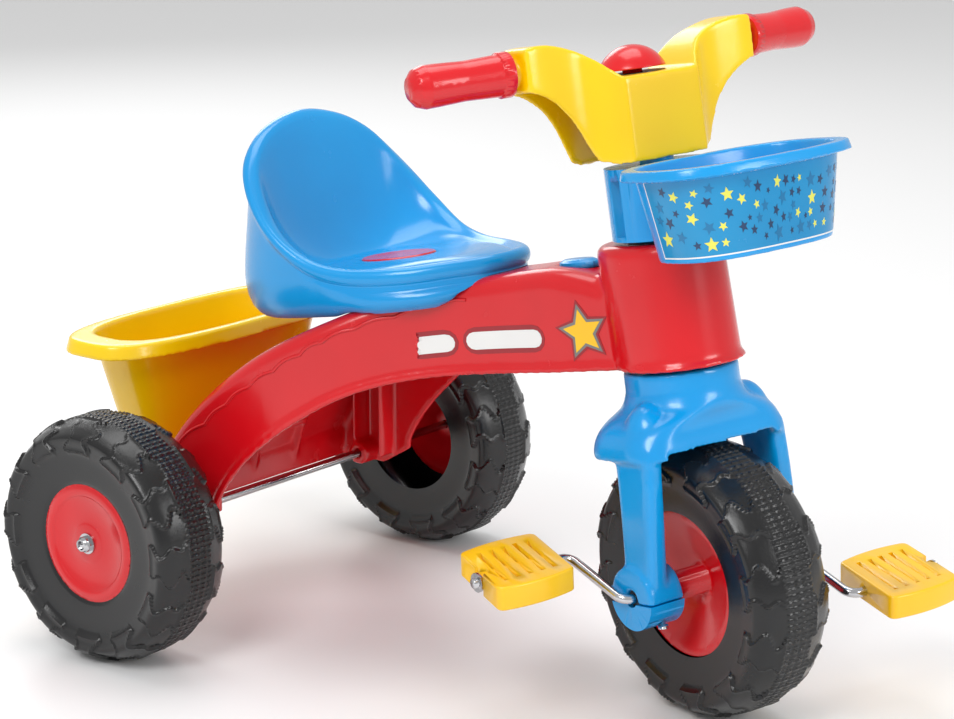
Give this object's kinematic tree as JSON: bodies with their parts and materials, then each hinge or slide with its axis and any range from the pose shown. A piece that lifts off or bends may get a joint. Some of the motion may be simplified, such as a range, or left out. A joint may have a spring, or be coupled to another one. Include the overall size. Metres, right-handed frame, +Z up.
{
  "type": "children's tricycle",
  "caption": "Moulded child's pedal tricycle with a low arched frame, bucket seat, raked steering, front basket, rear bucket and blow-moulded wheels.",
  "frame": {"origin": "on the floor under the middle of the bounding box", "axes": "+X forward, +Y to the rider's left, +Z up"},
  "size_m": [0.7784, 0.5006, 0.557],
  "materials": {
    "red_plastic": "smooth",
    "blue_plastic": "smooth",
    "yellow_plastic": "smooth",
    "black_tyre": "satin",
    "bright_steel": "bright",
    "dark_plastic": "satin"
  },
  "bodies": {
    "frame": {"frame_shell": "red_plastic", "beam_cap": "blue_plastic", "head_bush_lower": "dark_plastic", "head_bush_upper": "dark_plastic", "rear_axle": "bright_steel", "axle_spacer_tubes": "dark_plastic", "axle_washers": "bright_steel", "axle_lock_nuts": "bright_steel", "seat": "blue_plastic", "seat_insert": "red_plastic", "seat_screws": "bright_steel", "bucket": "yellow_plastic", "bucket_screws": "bright_steel"},
    "steering": {"fork": "blue_plastic", "foot_cap_left": "blue_plastic", "foot_cap_right": "blue_plastic", "foot_cap_screws": "bright_steel", "foot_bushes": "dark_plastic", "basket": "blue_plastic", "basket_collar": "blue_plastic", "handlebar": "yellow_plastic", "handlebar_bolt": "bright_steel", "grip_left": "red_plastic", "grip_right": "red_plastic", "horn_seat": "dark_plastic"},
    "horn": {"horn_button": "red_plastic"},
    "front_wheel": {"front_tyre": "black_tyre", "front_hub_left": "red_plastic", "front_hub_right": "red_plastic", "crank": "bright_steel", "pedal_clips": "bright_steel"},
    "left_pedal": {"pedal_left": "yellow_plastic"},
    "right_pedal": {"pedal_right": "yellow_plastic"},
    "left_rear_wheel": {"rear_tyre_left": "black_tyre", "rear_hub_left": "red_plastic"},
    "right_rear_wheel": {"rear_tyre_right": "black_tyre", "rear_hub_right": "red_plastic"}
  },
  "joints": [
    {"name": "steering_turn", "type": "hinge", "parent": "frame", "child": "steering", "pos_m": [0.20006, 0, 0.28831], "axis": [-0.1736, 0, 0.9848], "range_deg": [-28, 62]},
    {"name": "front_wheel_spin", "type": "hinge", "parent": "steering", "child": "front_wheel", "pos_m": [0.23079, 0, 0.114], "axis": [0.2879, 0.9563, 0.0508], "continuous": true},
    {"name": "left_pedal_spin", "type": "hinge", "parent": "front_wheel", "child": "left_pedal", "pos_m": [0.32995, 0.07852, 0.10132], "axis": [0.2879, 0.9563, 0.0508], "continuous": true},
    {"name": "right_pedal_spin", "type": "hinge", "parent": "front_wheel", "child": "right_pedal", "pos_m": [0.13164, -0.07852, 0.12668], "axis": [0.2879, 0.9563, 0.0508], "continuous": true},
    {"name": "left_rear_wheel_spin", "type": "hinge", "parent": "frame", "child": "left_rear_wheel", "pos_m": [-0.24121, 0.213, 0.107], "axis": [0, 1, 0], "continuous": true},
    {"name": "right_rear_wheel_spin", "type": "hinge", "parent": "frame", "child": "right_rear_wheel", "pos_m": [-0.24121, -0.213, 0.107], "axis": [0, 1, 0], "continuous": true},
    {"name": "horn_press", "type": "slide", "parent": "steering", "child": "horn", "axis": [0.1736, 0, -0.9848], "range_m": [0, 0.003], "stiffness_N_per_m": 800}
  ]
}
